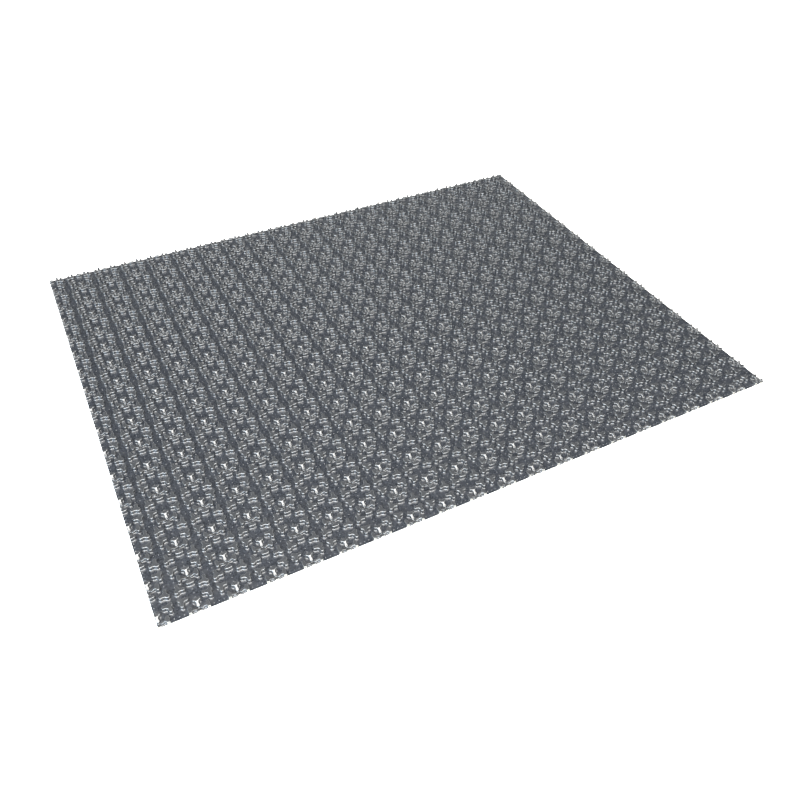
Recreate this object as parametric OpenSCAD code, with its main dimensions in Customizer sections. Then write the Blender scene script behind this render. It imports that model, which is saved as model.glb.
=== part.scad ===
// Uncoupling mat for electric floor heating: a studded plastic film on a fleece backing.
// The origin is the middle of the underside. X runs along the sheet's long side, Z points up.

/* [Sheet] */
// Length of the sheet along X
sheet_l = 1000; // [200:10:1200]
// Width of the sheet along Y
sheet_w = 800; // [200:10:1000]

/* [Layers] */
// Thickness of the fleece backing
fleece_t = 0.5; // [0.3:0.1:1]
// Thickness of the hot-melt bonding layer
bond_t = 0.1; // [0.1:0.1:0.3]
// Thickness of the film's flat web, which is the floor of the cable channels
web_t = 0.5; // [0.4:0.1:0.8]
// Height of the studs above the web
stud_h = 5.1; // [4:0.1:8]

/* [Stud pattern] */
// Distance between rosettes along X
pitch_x = 49.5; // [48:0.5:52]
// Distance between rosettes along Y
pitch_y = 50; // [48:0.5:52]
// First rosette column, from the sheet's left edge
first_x = 2.4; // [0:0.1:8]
// First rosette row, from the sheet's front edge
first_y = 4.5; // [0:0.1:8]
// Width of the cable channels that run along Y
channel_y_w = 4.7; // [4.2:0.1:8]
// Width of the cable channels that run along X
channel_x_w = 6.6; // [4.2:0.1:8]

/* [Hidden] */
bond_z = fleece_t;
web_z = bond_z + bond_t;
stud_z = web_z + web_t;
left = -sheet_l / 2;
right = sheet_l / 2;
front = -sheet_w / 2;
back = sheet_w / 2;
channels_y = floor((sheet_l - first_x) / pitch_x + 0.5);
channels_x = floor((sheet_w - first_y) / pitch_y + 0.5);
block_l = pitch_x - channel_y_w;
block_w = pitch_y - channel_x_w;

// A flat layer that covers the whole sheet
module layer(z, thickness) {
    translate([left, front, z]) cube([sheet_l, sheet_w, thickness]);
}

// The envelope of one rosette and its four clamping studs, cut off where the sheet ends
module stud_block(column, row) {
    x = left + first_x + column * pitch_x;
    y = front + first_y + row * pitch_y;
    x0 = max(left, x - block_l / 2);
    x1 = min(right, x + block_l / 2);
    y0 = max(front, y - block_w / 2);
    y1 = min(back, y + block_w / 2);
    translate([x0, y0, stud_z]) cube([x1 - x0, y1 - y0, stud_h]);
}

module film_web() {
    color([0.20, 0.21, 0.23]) layer(web_z, web_t);
}

// The gaps between the blocks are the cable channels
module film_studs() {
    color([0.20, 0.21, 0.23])
        for (column = [0:channels_y], row = [0:channels_x]) stud_block(column, row);
}

module bonding_layer() {
    color([0.85, 0.84, 0.80]) layer(bond_z, bond_t);
}

module fleece_backing() {
    color([0.82, 0.82, 0.80]) layer(0, fleece_t);
}

film_web();
film_studs();
bonding_layer();
fleece_backing();
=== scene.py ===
"""Looks of the uncoupling mat: a thermoformed studded film on hot melt and a fleece backing.

Lengths are in millimetres until a mesh is made, which is in metres. A cell is one repeat of the
stud pattern, centred on a rosette; the pattern is mirror symmetric about the cell's X and Y axes.
"""
import math

import bpy
import numpy as np
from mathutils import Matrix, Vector
from mathutils.geometry import delaunay_2d_cdt


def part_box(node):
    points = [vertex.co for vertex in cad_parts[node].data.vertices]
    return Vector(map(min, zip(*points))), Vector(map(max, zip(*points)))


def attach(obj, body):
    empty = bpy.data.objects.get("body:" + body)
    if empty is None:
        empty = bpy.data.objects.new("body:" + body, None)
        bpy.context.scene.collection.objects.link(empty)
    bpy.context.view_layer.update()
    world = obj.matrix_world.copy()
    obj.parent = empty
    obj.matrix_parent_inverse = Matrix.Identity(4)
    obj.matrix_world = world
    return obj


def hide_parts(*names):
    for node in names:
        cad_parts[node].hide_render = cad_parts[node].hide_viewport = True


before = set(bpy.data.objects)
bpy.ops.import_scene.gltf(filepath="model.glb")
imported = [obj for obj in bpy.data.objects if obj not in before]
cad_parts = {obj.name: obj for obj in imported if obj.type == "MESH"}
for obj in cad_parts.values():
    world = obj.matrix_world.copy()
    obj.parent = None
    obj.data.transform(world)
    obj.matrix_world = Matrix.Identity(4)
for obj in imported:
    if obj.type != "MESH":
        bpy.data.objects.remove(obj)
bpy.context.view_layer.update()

MM = 0.001

# Stud pattern, the same driving sizes as the CAD model
PITCH_X, PITCH_Y = 49.5, 50.0
FIRST_X, FIRST_Y = 2.4, 4.5
SKIN_T = 0.4

# Rosette stud, which points along +X from the rosette's centre
RIM_R = 13.9
RIM_LOBE = (11.43, 3.3, 2.0)
TIP = (4.0, 0.0, 2.3)
RAMP_TOP, RAMP_END, RAMP_DROP = 9.2, 1.7, 3.2
RAMP_POWER = 1.6

# Clamping stud in the cell's +X +Y quarter: circles at its stem and its two lobes
STEM = (17.8, 9.9, 2.5)
OUTER_LOBE = (19.3, 18.6, 2.9)
INNER_LOBE = (10.9, 17.1, 2.6)

# Stud walls: outward lean over their height, and the radii at the foot and the rim
DRAFT = 0.3
FOOT_R = 0.9
RIM_FILLET = 0.9

# Base colours of the film: dark and light parts of the web, then walls darkened as painted shade,
# tops lightened as painted light, and rims paled as a painted highlight
FILM_DARK = (0.004, 0.005, 0.007)
FILM_WEB = (0.031, 0.034, 0.041)
FILM_WALL_SHADE = (0.004, 0.0045, 0.006)
FILM_LIT_TOP = (0.027, 0.028, 0.030)
FILM_RIM_HIGHLIGHT = (0.085, 0.087, 0.089)

# How much rougher the walls and ramps are than the rest of the film
WALL_ROUGHENING = 0.25

# Heights where the painted shade on the walls fades in, above the web, and out, below the stud
# tops, where the painted lighter top colour takes over
WALL_FADE_IN, WALL_FADE_OUT = (0.3, 1.2), (1.0, 0.3)

# Small nipples on the web, three in a row
NIPPLE_R, NIPPLE_H, NIPPLE_STEP = 1.0, 0.22, 6.3

WEB_LO, WEB_HI = (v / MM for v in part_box("film_web"))
STUDS_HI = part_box("film_studs")[1] / MM

# Fleece: mesh cell, raggedness of the edge, depth of the underside's waves, loose fibres
FLEECE_CELL = 5.0
EDGE_RAG = 0.25
UNDER_WAVE = 0.04
FIBRES = 1600
FIBRE_R = 0.03

FLEECE_LO, FLEECE_HI = (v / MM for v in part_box("fleece_backing"))
WEB_T = WEB_HI.z - WEB_LO.z
STUD_H = STUDS_HI.z - WEB_HI.z


# ---------------------------------------------------------------- outlines

def arc(centre, radius, start, end, step):
    """Points and outward directions on an arc, without its last point."""
    count = max(1, round(abs(end - start) / step))
    a = np.linspace(start, end, count + 1)[:-1]
    out = np.c_[np.cos(a), np.sin(a)]
    return np.asarray(centre) + radius * out, out


def blend_centre(a, ra, b, rb, blend):
    """Centre of the arc that joins two circles: hollow if blend is positive, else bulging."""
    pa, pb = abs(ra + blend), abs(rb + blend)
    span = np.linalg.norm(b - a)
    along = (b - a) / span
    x = (pa ** 2 - pb ** 2 + span ** 2) / (2 * span)
    side = np.array([along[1], -along[0]]) * math.copysign(1, blend)
    return a + along * x + side * math.sqrt(pa ** 2 - x ** 2)


def angle_of(v):
    return math.atan2(v[1], v[0])


def outline(circles, blends, step):
    """A closed smooth outline, anticlockwise round circles (x, y, r), with arcs between them."""
    joins = []
    for one, two, blend in zip(circles, circles[1:] + circles[:1], blends):
        a, b = np.array(one[:2]), np.array(two[:2])
        c = blend_centre(a, one[2], b, two[2], blend)
        away = 1 if blend > 0 else -1
        joins.append((c, angle_of(away * (c - a)), angle_of(away * (c - b))))
    points, normals = [], []
    for k, circle in enumerate(circles):
        start, (c, leave, arrive) = joins[k - 1][2], joins[k]
        end = start + (leave - start) % math.tau
        p, n = arc(circle[:2], circle[2], start, end, step)
        points.append(p)
        normals.append(n)
        if blends[k] > 0:
            turn = (leave - arrive) % math.tau
            p, n = arc(c, blends[k], leave + math.pi, leave + math.pi - turn, step)
            n = -n
        else:
            turn = (arrive - leave) % math.tau
            p, n = arc(c, -blends[k], leave, leave + turn, step / 2)
        points.append(p)
        normals.append(n)
    return np.concatenate(points), np.concatenate(normals)


def turned(points, quarter_turns):
    c, s = (1, 0, -1, 0)[quarter_turns], (0, 1, 0, -1)[quarter_turns]
    return points @ np.array([[c, s], [-s, c]])


def flipped(points, normals, sx, sy):
    """Mirrors an outline, and keeps it anticlockwise."""
    points, normals = points * (sx, sy), normals * (sx, sy)
    return (points[::-1], normals[::-1]) if sx * sy < 0 else (points, normals)


def cell_studs(step):
    """[(points, normals, axis)] of a cell's eight studs; axis is None on the clamping studs."""
    studs = []
    rx, ry, rr = RIM_LOBE
    rosette = outline([TIP, (rx, -ry, rr), (rx, ry, rr)], [3.0, -RIM_R, 3.0], step)
    for k in range(4):
        axis = turned(np.array([[1.0, 0.0]]), k)[0]
        studs.append((turned(rosette[0], k), turned(rosette[1], k), axis))
    clamp = outline([STEM, OUTER_LOBE, INNER_LOBE], [4.0, 4.5, 3.5], step)
    for sx in (1, -1):
        for sy in (1, -1):
            studs.append((*flipped(*clamp, sx, sy), None))
    return studs


# ---------------------------------------------------------------- one cell of the film

def top_height(points, axis, height):
    """Height and slope of a stud's top: flat, or ramping down towards the rosette's centre."""
    if axis is None:
        return np.full(len(points), height), np.zeros(len(points))
    t = np.clip((RAMP_TOP - points @ axis) / (RAMP_TOP - RAMP_END), 0, 1)
    drop = RAMP_DROP * (1 - (1 - t) ** RAMP_POWER)
    slope = RAMP_DROP * RAMP_POWER * (1 - t) ** (RAMP_POWER - 1) / (RAMP_TOP - RAMP_END)
    return height - drop, np.where(t > 0, slope, 0)


class Soup:
    """Vertices, normals and triangles gathered from several surfaces.

    A normal has a fourth number, from 0 to 1: how much of the pale painted rim highlight goes on
    there.
    """

    def __init__(self):
        self.verts, self.normals, self.tris, self.count = [], [], [], 0

    def add(self, verts, normals, tris, rim=0.0):
        self.verts.append(np.asarray(verts, float))
        self.normals.append(np.c_[normals, np.broadcast_to(rim, len(verts))])
        self.tris.append(np.asarray(tris, int) + self.count)
        self.count += len(verts)

    def arrays(self):
        return np.concatenate(self.verts), np.concatenate(self.normals), np.concatenate(self.tris)


def bands(rings, size):
    """Triangles between closed rings of the same size, from the outermost in."""
    k = np.arange(size)
    nxt = (k + 1) % size
    tris = []
    for r in range(rings - 1):
        a, b = r * size, (r + 1) * size
        tris += [np.c_[a + k, a + nxt, b + nxt], np.c_[a + k, b + nxt, b + k]]
    return np.concatenate(tris)


def fill(loops, holes=()):
    """Triangles inside the loops and outside the holes: (points, triangles)."""
    verts, edges, faces = [], [], []
    for loop in (*loops, *holes):
        first = len(verts)
        verts += [Vector(p) for p in loop]
        ids = list(range(first, len(verts)))
        edges += list(zip(ids, ids[1:] + ids[:1]))
        faces.append(ids)
    out, _, got, _, _, source = delaunay_2d_cdt(verts, edges, faces, 1, 1e-6)
    keep = [f for f, s in zip(got, source) if not any(k >= len(loops) for k in s)]
    return np.array([tuple(v) for v in out]), np.array(keep, int)


def with_z(points, z):
    return np.c_[points, np.broadcast_to(z, len(points))]


def stud_skin(soup, points, normals, axis, rings, height):
    """Adds a stud's wall and top from its rings, which run from the foot up and then inwards.

    A ring is (outward offset, height above the foot or None, depth below the top, tilt of the
    normal or None for the wall's own, rim, the share of painted rim highlight).
    """
    wall_tilt = math.atan2(DRAFT, height)
    verts, norms = [], []
    for offset, up, down, tilt, _ in rings:
        ring = points + normals * offset
        top, slope = top_height(ring, axis, height)
        z = top - down if up is None else np.full(len(ring), up)
        flat = np.c_[np.zeros((len(ring), 2)), np.ones(len(ring))]
        if axis is not None and up is None:
            flat[:, :2] = -slope[:, None] * axis
            flat /= np.linalg.norm(flat, axis=1, keepdims=True)
        out = np.c_[normals, np.zeros(len(ring))]
        angle = wall_tilt if tilt is None else tilt
        verts.append(with_z(ring, z))
        norms.append(out * math.cos(angle) + flat * math.sin(angle))
    size = len(points)
    cap, cap_tris = fill([verts[-1][:, :2]])
    assert len(cap) == size
    tris = np.concatenate([bands(len(rings), size), cap_tris + (len(rings) - 1) * size])
    rim = np.repeat([ring[-1] for ring in rings], size)
    soup.add(np.concatenate(verts), np.concatenate(norms), tris, rim)
    return verts[0][:, :2]


def outer_rings():
    half = math.sqrt(0.5)
    tuck_foot, tuck_rim = FOOT_R * (1 - half), RIM_FILLET * (1 - half)
    quarter = math.pi / 4
    # The last number of a ring is its share of the painted rim highlight, most of it halfway round
    # the rim
    return [
        (DRAFT + FOOT_R, 0.0, 0.0, 2 * quarter, 0.0),
        (DRAFT + tuck_foot, tuck_foot, 0.0, quarter, 0.0),
        (DRAFT, FOOT_R, 0.0, None, 0.0),
        (0.0, None, RIM_FILLET, None, 0.2),
        (-tuck_rim, None, tuck_rim, quarter, 1.0),
        (-RIM_FILLET, None, 0.0, 2 * quarter, 0.0),
    ]


def inner_rings():
    """The top corner leans in, so that the coarser inner outline stays under the outer skin."""
    return [
        (DRAFT - SKIN_T, -WEB_T, 0.0, math.pi / 2, 0.0),
        (-2 * SKIN_T, None, SKIN_T, math.pi / 4, 0.0),
    ]


def nipple_places():
    """Centres of the nipples that belong to a cell, and of all those that reach into it."""
    steps = (-NIPPLE_STEP, 0.0, NIPPLE_STEP)
    own = [(PITCH_X / 2 + s, 0.0) for s in steps] + [(0.0, PITCH_Y / 2 + s) for s in steps]
    near = {(sx * x, sy * y) for x, y in own for sx in (1, -1) for sy in (1, -1)}
    near = {(x + 0.0, y + 0.0) for x, y in near}
    return own, sorted(p for p in near if abs(p[0]) <= PITCH_X / 2 and abs(p[1]) <= PITCH_Y / 2)


def nipple_ring(centre, radius, count=8):
    a = np.arange(count) * math.tau / count
    out = np.c_[np.cos(a), np.sin(a)]
    return np.asarray(centre) + radius * out, out


def add_nipple(soup, centre):
    """A low dome with a soft foot."""
    verts, norms = [], []
    for share, rise, tilt in ((1.0, 0.0, 1.571), (0.72, 0.35, 0.75), (0.4, 0.85, 1.0)):
        ring, out = nipple_ring(centre, NIPPLE_R * share)
        verts.append(with_z(ring, NIPPLE_H * rise))
        norms.append(np.c_[out * math.cos(tilt), np.full(len(ring), math.sin(tilt))])
    size = len(verts[0])
    verts.append([(*centre, NIPPLE_H)])
    norms.append([(0.0, 0.0, 1.0)])
    k = np.arange(size)
    peak = np.c_[2 * size + k, 2 * size + (k + 1) % size, np.full(size, 3 * size)]
    soup.add(np.concatenate(verts), np.concatenate(norms), np.concatenate([bands(3, size), peak]))


def cell_border():
    """The cell's rectangle, with corners where the border nipples' rings cross it."""
    hx, hy, r = PITCH_X / 2, PITCH_Y / 2, NIPPLE_R
    return [
        (-hx, -hy), (-r, -hy), (r, -hy), (hx, -hy), (hx, -r), (hx, r),
        (hx, hy), (r, hy), (-r, hy), (-hx, hy), (-hx, r), (-hx, -r),
    ]


def half_ring(centre):
    """The part of a nipple's ring that lies in the cell."""
    ring, _ = nipple_ring(centre, NIPPLE_R)
    hx, hy = PITCH_X / 2 + 1e-6, PITCH_Y / 2 + 1e-6
    inside = (abs(ring[:, 0]) <= hx) & (abs(ring[:, 1]) <= hy)
    first = next(k for k in range(len(ring)) if inside[k] and not inside[k - 1])
    order = [(first + k) % len(ring) for k in range(inside.sum())]
    return ring[order]


def cell_surface(rings, step, height, web_z, nipples):
    """One cell of the film's upper or lower surface."""
    soup = Soup()
    holes = []
    for points, normals, axis in cell_studs(step):
        holes.append(stud_skin(soup, points, normals, axis, rings, height))
    if nipples:
        own, near = nipple_places()
        for centre in own:
            add_nipple(soup, centre)
        for centre in near:
            whole = abs(centre[0]) < PITCH_X / 2 and abs(centre[1]) < PITCH_Y / 2
            holes.append(nipple_ring(centre, NIPPLE_R)[0] if whole else half_ring(centre))
    web, web_tris = fill([cell_border()], holes)
    soup.add(with_z(web, web_z), np.tile((0.0, 0.0, 1.0), (len(web), 1)), web_tris)
    return soup.arrays()


# ---------------------------------------------------------------- the whole film

def tiled(verts, normals, tris, columns, rows):
    """Copies of a cell over the sheet, welded along the cells' borders."""
    x = WEB_LO.x + FIRST_X + PITCH_X * np.arange(-1, columns)
    y = WEB_LO.y + FIRST_Y + PITCH_Y * np.arange(-1, rows)
    places = np.array([(a, b, WEB_HI.z) for a in x for b in y])
    all_verts = (places[:, None] + verts[None]).reshape(-1, 3)
    all_tris = (np.arange(len(places))[:, None, None] * len(verts) + tris[None]).reshape(-1, 3)
    all_normals = np.tile(normals, (len(places), 1))
    return welded(all_verts, all_normals, all_tris)


def welded(verts, normals, tris, grid=1e-4):
    key = np.round(verts / grid).astype(np.int64)
    key -= key.min(0)
    spans = key.max(0) + 1
    code = (key[:, 0] * spans[1] + key[:, 1]) * spans[2] + key[:, 2]
    _, first, back = np.unique(code, return_index=True, return_inverse=True)
    tris = back.reshape(-1)[tris]
    real = (tris[:, 0] != tris[:, 1]) & (tris[:, 1] != tris[:, 2]) & (tris[:, 2] != tris[:, 0])
    return verts[first], normals[first], tris[real]


def clipped(verts, normals, tris, axis, limit, sign):
    """Keeps what lies at sign * coordinate <= sign * limit, with new corners on the limit."""
    past = sign * (verts[:, axis] - limit)
    near = abs(past) < 1e-4
    verts = verts.copy()
    verts[near, axis] = limit
    out = (past > 0) & ~near
    outside = out[tris]
    count = outside.sum(1)
    kept = [tris[count == 0]]
    cut = tris[(count > 0) & (count < 3)]
    lone_out = outside[(count > 0) & (count < 3)].sum(1) == 1
    # each cut triangle is turned so that its odd corner comes first
    odd = np.where(lone_out, out[cut].argmax(1), (~out[cut]).argmax(1))
    cut = cut[np.arange(len(cut))[:, None], (odd[:, None] + np.arange(3)) % 3]
    edges = np.sort(np.concatenate([cut[:, [0, 1]], cut[:, [0, 2]]]), axis=1)
    edges, where = np.unique(edges, axis=0, return_inverse=True)
    a, b = edges.T
    with np.errstate(divide="ignore", invalid="ignore"):
        share = np.clip((limit - verts[a, axis]) / (verts[b, axis] - verts[a, axis]), 0, 1)[:, None]
    fresh = verts[a] + share * (verts[b] - verts[a])
    fresh[:, axis] = limit
    fresh_normals = normals[a] + share * (normals[b] - normals[a])
    where = where.reshape(-1) + len(verts)
    ab, ac = where[:len(cut)], where[len(cut):]
    one = ~lone_out
    kept.append(np.c_[cut[one, 0], ab[one], ac[one]])
    kept.append(np.c_[ab[lone_out], cut[lone_out, 1], cut[lone_out, 2]])
    kept.append(np.c_[ab[lone_out], cut[lone_out, 2], ac[lone_out]])
    verts = np.concatenate([verts, fresh])
    normals = np.concatenate([normals, fresh_normals])
    return welded(verts, normals, np.concatenate(kept))


def sheet_limits():
    return [(0, WEB_LO.x, -1), (0, WEB_HI.x, 1), (1, WEB_LO.y, -1), (1, WEB_HI.y, 1)]


def cut_line(verts, tris, axis, limit):
    """The vertices in use on one edge of the sheet, in order along it."""
    used = np.zeros(len(verts), bool)
    used[tris] = True
    ids = np.flatnonzero(used & (abs(verts[:, axis] - limit) < 1e-6))
    return ids[np.lexsort((verts[ids, 2], verts[ids, 1 - axis]))]


def edge_strip(verts, upper, lower, axis, sign):
    """Triangles of the film's cut edge, between its upper and lower surfaces."""
    u, v = verts[upper, 1 - axis], verts[lower, 1 - axis]
    tris, i, j = [], 0, 0
    while i < len(u) - 1 or j < len(v) - 1:
        step_upper = j == len(v) - 1 or (i < len(u) - 1 and u[i + 1] <= v[j + 1])
        if step_upper:
            tris.append((upper[i], lower[j], upper[i + 1]))
            i += 1
        else:
            tris.append((upper[i], lower[j], lower[j + 1]))
            j += 1
    tris = np.array(tris)
    clockwise = (axis == 0) == (sign > 0)
    return tris if clockwise else tris[:, ::-1]


def film_surfaces():
    """The film as one closed shell: upper surface, lower surface and cut edge."""
    columns = round((WEB_HI.x - WEB_LO.x - FIRST_X) / PITCH_X) + 2
    rows = round((WEB_HI.y - WEB_LO.y - FIRST_Y) / PITCH_Y) + 2
    fine, coarse = math.radians(26), math.radians(45)
    upper = tiled(*cell_surface(outer_rings(), fine, STUD_H, 0.0, True), columns, rows)
    lower = tiled(*cell_surface(inner_rings(), coarse, STUD_H, -WEB_T, False), columns, rows)
    for limit in sheet_limits():
        upper, lower = clipped(*upper, *limit), clipped(*lower, *limit)
    shift = len(upper[0])
    verts = np.concatenate([upper[0], lower[0]])
    normals = np.concatenate([upper[1], lower[1] * (-1, -1, -1, 1)])
    tris = [upper[2], lower[2][:, ::-1] + shift]
    for axis, limit, sign in sheet_limits():
        top = cut_line(upper[0], upper[2], axis, limit)
        bottom = cut_line(lower[0], lower[2], axis, limit) + shift
        tris.append(edge_strip(verts, top, bottom, axis, sign))
    return verts, normals, tris


def mesh_object(name, verts, tris, *materials):
    """A mesh object in metres, from vertices in millimetres and triangles."""
    mesh = bpy.data.meshes.new(name)
    mesh.vertices.add(len(verts))
    mesh.vertices.foreach_set("co", (verts * MM).astype(np.float32).ravel())
    mesh.loops.add(3 * len(tris))
    mesh.loops.foreach_set("vertex_index", tris.astype(np.int32).ravel())
    mesh.polygons.add(len(tris))
    mesh.polygons.foreach_set("loop_start", np.arange(0, 3 * len(tris), 3, dtype=np.int32))
    mesh.update(calc_edges=True)
    for material in materials:
        mesh.materials.append(material)
    piece = bpy.data.objects.new(name, mesh)
    bpy.context.scene.collection.objects.link(piece)
    return piece


def make_film():
    """The film, with its upper side in one material and its underside and cut edges in another."""
    verts, normals, parts = film_surfaces()
    tris = np.concatenate(parts)
    used, tris = np.unique(tris, return_inverse=True)
    tris = tris.reshape(-1, 3)
    piece = mesh_object("film_shell", verts[used], tris, film_material(), film_inside_material())
    underside = np.arange(len(tris)) >= len(parts[0])
    piece.data.polygons.foreach_set("material_index", underside.astype(np.int32))
    edge_faces = sum(len(p) for p in parts[2:])
    smooth = np.ones(len(tris), bool)
    smooth[-edge_faces:] = False
    piece.data.polygons.foreach_set("use_smooth", smooth)
    # Share of the painted rim highlight at each vertex, read by the film's material
    rim = piece.data.attributes.new("rim", "FLOAT", "POINT")
    rim.data.foreach_set("value", normals[used, 3].astype(np.float32))
    corner_normals = normals[used, :3][tris].reshape(-1, 3)
    corner_normals /= np.linalg.norm(corner_normals, axis=1, keepdims=True)
    corner_normals[-3 * edge_faces:] = 0
    piece.data.normals_split_custom_set(corner_normals)
    return piece


# ---------------------------------------------------------------- the fleece

def smooth_noise(rng, shape, cells):
    """Random waves between -1 and 1 on a grid, with this many cells between their knots."""
    knots = rng.uniform(-1, 1, [n // cells + 3 for n in shape])
    for axis, n in enumerate(shape):
        at = np.arange(n) / cells
        low = at.astype(int)
        t = at - low
        t = (t * t * (3 - 2 * t)).reshape([-1 if k == axis else 1 for k in range(2)])
        knots = np.take(knots, low, axis) * (1 - t) + np.take(knots, low + 1, axis) * t
    return knots


def fleece_slab(rng):
    """A closed thin slab with a slightly uneven underside and ragged edges."""
    columns, rows = (round((FLEECE_HI[k] - FLEECE_LO[k]) / FLEECE_CELL) + 1 for k in range(2))
    x, y = np.meshgrid(
        np.linspace(FLEECE_LO.x, FLEECE_HI.x, columns),
        np.linspace(FLEECE_LO.y, FLEECE_HI.y, rows),
        indexing="ij",
    )
    x[[0, -1]] += rng.uniform(-EDGE_RAG, EDGE_RAG, (2, rows))
    y[:, [0, -1]] += rng.uniform(-EDGE_RAG, EDGE_RAG, (columns, 2))
    under = FLEECE_LO.z + UNDER_WAVE * (1 + smooth_noise(rng, x.shape, 5))
    over = np.full_like(x, FLEECE_HI.z)
    verts = np.concatenate([np.stack([x, y, z], -1).reshape(-1, 3) for z in (over, under)])
    k = np.arange(columns * rows).reshape(columns, rows)
    quads = np.stack([k[:-1, :-1], k[1:, :-1], k[1:, 1:], k[:-1, 1:]], -1).reshape(-1, 4)
    border = np.concatenate([k[:, 0], k[-1, 1:], k[-2::-1, -1], k[0, -2:0:-1]])
    nxt, below = np.roll(border, -1), columns * rows
    sides = np.stack([border, border + below, nxt + below, nxt], -1)
    quads = np.concatenate([quads, quads[:, ::-1] + below, sides])
    return verts, np.concatenate([quads[:, :3], quads[:, [0, 2, 3]]])


def edge_fibres(rng):
    """Short loose fibres that stand out of the fleece's four edges."""
    span = FLEECE_HI - FLEECE_LO
    along = rng.uniform(0, 2 * (span.x + span.y), FIBRES)
    side = np.searchsorted(np.cumsum([span.x, span.y, span.x]), along)
    start = np.zeros((FIBRES, 3))
    out = np.array([(0, -1, 0), (1, 0, 0), (0, 1, 0), (-1, 0, 0)], float)[side]
    share = rng.uniform(0, 1, FIBRES)
    x, y = FLEECE_LO.x + share * span.x, FLEECE_LO.y + share * span.y
    start[:, 0] = np.choose(side, [x, FLEECE_HI.x, x, FLEECE_LO.x])
    start[:, 1] = np.choose(side, [FLEECE_LO.y, y, FLEECE_HI.y, y])
    start[:, 2] = rng.uniform(FLEECE_LO.z + 0.1, FLEECE_HI.z - 0.05, FIBRES)
    start -= out
    lean = rng.normal(0, 0.6, (FIBRES, 3)) * (1, 1, 0.1)
    length = rng.uniform(1.2, 2.6, FIBRES)[:, None]
    verts, tris = [], []
    steps = 4
    for s in range(steps):
        t = s / (steps - 1)
        centre = start + length * (out * t + lean * t * t)
        centre[:, 2] = np.clip(centre[:, 2], FLEECE_LO.z + 0.05, FLEECE_HI.z)
        for k in range(3):
            a = k * math.tau / 3
            ring = np.cross(out, (0, 0, 1)) * math.cos(a) + np.array((0, 0, 1)) * math.sin(a)
            verts.append(centre + FIBRE_R * (1 - 0.8 * t) * ring)
    verts = np.stack(verts, 1)
    for s in range(steps - 1):
        for k in range(3):
            a, b = 3 * s + k, 3 * s + (k + 1) % 3
            tris += [(a, b, b + 3), (a, b + 3, a + 3)]
    tris += [(0, 2, 1), (3 * steps - 3, 3 * steps - 2, 3 * steps - 1)]
    every = (np.arange(FIBRES)[:, None, None] * 3 * steps + np.array(tris)).reshape(-1, 3)
    return verts.reshape(-1, 3), every


def make_fleece():
    rng = np.random.default_rng(7)
    slab, slab_tris = fleece_slab(rng)
    fibres, fibre_tris = edge_fibres(rng)
    tris = np.concatenate([slab_tris, fibre_tris + len(slab)])
    return mesh_object("fleece", np.concatenate([slab, fibres]), tris, fleece_material())


# ---------------------------------------------------------------- materials

def new_material(name, color, roughness):
    material = bpy.data.materials.new(name)
    material.use_nodes = True
    tree = material.node_tree
    shader = tree.nodes["Principled BSDF"]
    shader.inputs["Base Color"].default_value = (*color, 1)
    shader.inputs["Roughness"].default_value = roughness
    return material, tree, shader


def object_coords(tree):
    return tree.nodes.new("ShaderNodeTexCoord").outputs["Object"]


def noise(tree, scale, detail=2.0):
    """A noise pattern with this many cycles a metre."""
    node = tree.nodes.new("ShaderNodeTexNoise")
    node.inputs["Scale"].default_value = scale
    node.inputs["Detail"].default_value = detail
    tree.links.new(object_coords(tree), node.inputs["Vector"])
    return node.outputs["Fac"]


def remap(tree, value, from_min, from_max, to_min=0.0, to_max=1.0):
    node = tree.nodes.new("ShaderNodeMapRange")
    limits = {"From Min": from_min, "From Max": from_max, "To Min": to_min, "To Max": to_max}
    for name, number in limits.items():
        node.inputs[name].default_value = number
    tree.links.new(value, node.inputs["Value"])
    return node.outputs["Result"]


def mixed(tree, factor, low, high):
    """A colour between low, which may come from another node, and high."""
    node = tree.nodes.new("ShaderNodeMix")
    node.data_type = "RGBA"
    if isinstance(low, tuple):
        node.inputs[6].default_value = (*low, 1)
    else:
        tree.links.new(low, node.inputs[6])
    node.inputs[7].default_value = (*high, 1)
    tree.links.new(factor, node.inputs["Factor"])
    return node.outputs[2]


def combined(tree, operation, first, second):
    node = tree.nodes.new("ShaderNodeMath")
    node.operation = operation
    tree.links.new(first, node.inputs[0])
    tree.links.new(second, node.inputs[1])
    return node.outputs[0]


def bumped(tree, shader, height, strength, distance):
    node = tree.nodes.new("ShaderNodeBump")
    node.inputs["Strength"].default_value = strength
    node.inputs["Distance"].default_value = distance
    tree.links.new(height, node.inputs["Height"])
    tree.links.new(node.outputs["Normal"], shader.inputs["Normal"])


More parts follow.
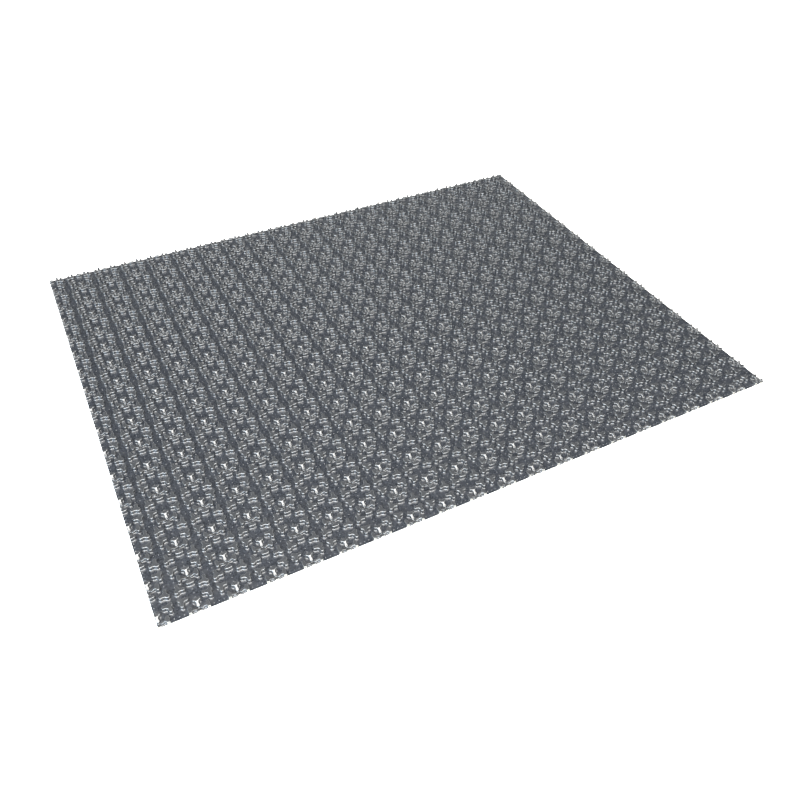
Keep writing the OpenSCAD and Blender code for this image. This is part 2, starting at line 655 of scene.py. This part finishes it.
def film_material():
    """Anthracite satin plastic, rougher on the walls, with painted shade on the walls, painted
    light on the tops and a painted highlight along the rims.
    """
    material, tree, shader = new_material("film_plastic", FILM_WEB, 0.28)
    height = tree.nodes.new("ShaderNodeSeparateXYZ")
    tree.links.new(object_coords(tree), height.inputs["Vector"])
    fade_in = [(WEB_HI.z + h) * MM for h in WALL_FADE_IN]
    fade_out = [(STUDS_HI.z - h) * MM for h in WALL_FADE_OUT]
    foot = remap(tree, height.outputs["Z"], *fade_in)
    top = remap(tree, height.outputs["Z"], *fade_out)
    rim = tree.nodes.new("ShaderNodeAttribute")
    rim.attribute_name = "rim"
    speckle = remap(tree, noise(tree, 650, 3.0), 0.35, 0.65)
    color = mixed(tree, speckle, FILM_DARK, FILM_WEB)
    # Painted shade: the stud walls get a darker colour between the foot and the top
    color = mixed(tree, foot, color, FILM_WALL_SHADE)
    # Painted light: the stud tops get a paler, warmer colour than the web, though both are the same
    # film
    color = mixed(tree, top, color, FILM_LIT_TOP)
    # Painted highlight: the rims are paled, standing in for the glints along them
    color = mixed(tree, rim.outputs["Fac"], color, FILM_RIM_HIGHLIGHT)
    tree.links.new(color, shader.inputs["Base Color"])
    wall = combined(tree, "SUBTRACT", foot, top)
    gloss = remap(tree, noise(tree, 90), 0.3, 0.7, 0.22, 0.34)
    matt = remap(tree, wall, 0, 1, 0, WALL_ROUGHENING)
    tree.links.new(combined(tree, "ADD", gloss, matt), shader.inputs["Roughness"])
    shader.inputs["Specular IOR Level"].default_value = 1.0
    shader.inputs["Coat Weight"].default_value = 1.0
    shader.inputs["Coat Roughness"].default_value = 0.15
    bumped(tree, shader, noise(tree, 800), 0.5, 0.0003)
    return material


def film_inside_material():
    """The film's underside and cut edges, pale: a painted highlight standing in for the glints on
    the cut faces.
    """
    material, tree, shader = new_material("film_underside", (0.33, 0.31, 0.27), 0.5)
    bumped(tree, shader, noise(tree, 500), 0.2, 0.0001)
    return material


def fleece_material():
    """Needled nonwoven: fine crossed fibres, with denser and thinner patches."""
    material, tree, shader = new_material("fleece", (0.72, 0.72, 0.70), 0.95)
    patches = remap(tree, noise(tree, 60, 4.0), 0.3, 0.7)
    color = mixed(tree, patches, (0.62, 0.62, 0.60), (0.78, 0.78, 0.76))
    tree.links.new(color, shader.inputs["Base Color"])
    shader.inputs["Sheen Weight"].default_value = 0.2
    bumped(tree, shader, noise(tree, 1400, 6.0), 0.8, 0.0003)
    return material


def melt_material():
    """Milky hot melt with small bubbles and waves."""
    material, tree, shader = new_material("hot_melt", (0.75, 0.73, 0.66), 0.4)
    bumped(tree, shader, noise(tree, 250, 3.0), 0.3, 0.0002)
    return material


# ---------------------------------------------------------------- stage, light, camera

def make_camera():
    data = bpy.data.cameras.new("camera")
    data.lens = 33.96
    data.sensor_width = 36
    camera = bpy.data.objects.new("camera", data)
    camera.location = (-0.4718, -0.9390, 0.8228)
    camera.rotation_euler = [math.radians(a) for a in (46.591, -1.138, -27.299)]
    bpy.context.scene.collection.objects.link(camera)
    bpy.context.scene.camera = camera


def make_floor():
    size = 6.0
    mesh = bpy.data.meshes.new("floor")
    h = size / 2
    mesh.from_pydata([(-h, -h, 0), (h, -h, 0), (h, h, 0), (-h, h, 0)], [], [(0, 1, 2, 3)])
    floor = bpy.data.objects.new("floor", mesh)
    material, _, _ = new_material("floor", (0.9, 0.9, 0.9), 0.9)
    mesh.materials.append(material)
    floor.location.z = -0.0003
    bpy.context.scene.collection.objects.link(floor)


def area_light(name, place, size, radiance, color):
    """A rectangular light that faces the mat."""
    data = bpy.data.lights.new(name, "AREA")
    data.shape = "RECTANGLE"
    data.size, data.size_y = size
    data.energy = radiance * math.pi * size[0] * size[1]
    data.color = color
    light = bpy.data.objects.new(name, data)
    light.location = place
    light.rotation_euler = (-Vector(place)).to_track_quat("-Z", "Y").to_euler()
    bpy.context.scene.collection.objects.link(light)


def make_lights():
    area_light("overhead", (-0.3, -0.9, 2.2), (3.6, 1.8), 14, (1.0, 0.98, 0.94))
    area_light("front", (-2.0, -1.9, 1.1), (3.4, 1.0), 18, (0.68, 0.84, 1.0))
    area_light("backdrop", (0.7, 3.0, 0.5), (6.0, 0.9), 2.5, (0.95, 0.98, 1.0))
    world = bpy.data.worlds.new("world")
    world.use_nodes = True
    background = world.node_tree.nodes["Background"]
    background.inputs["Color"].default_value = (0.85, 0.92, 1.0, 1)
    background.inputs["Strength"].default_value = 0.1
    bpy.context.scene.world = world
    bpy.context.scene.view_settings.view_transform = "Standard"


make_camera()
make_floor()
make_lights()

film = make_film()
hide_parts("film_web", "film_studs")
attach(film, "root")

fleece = make_fleece()
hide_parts("fleece_backing")
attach(fleece, "root")

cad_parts["bonding_layer"].material_slots[0].material = melt_material()
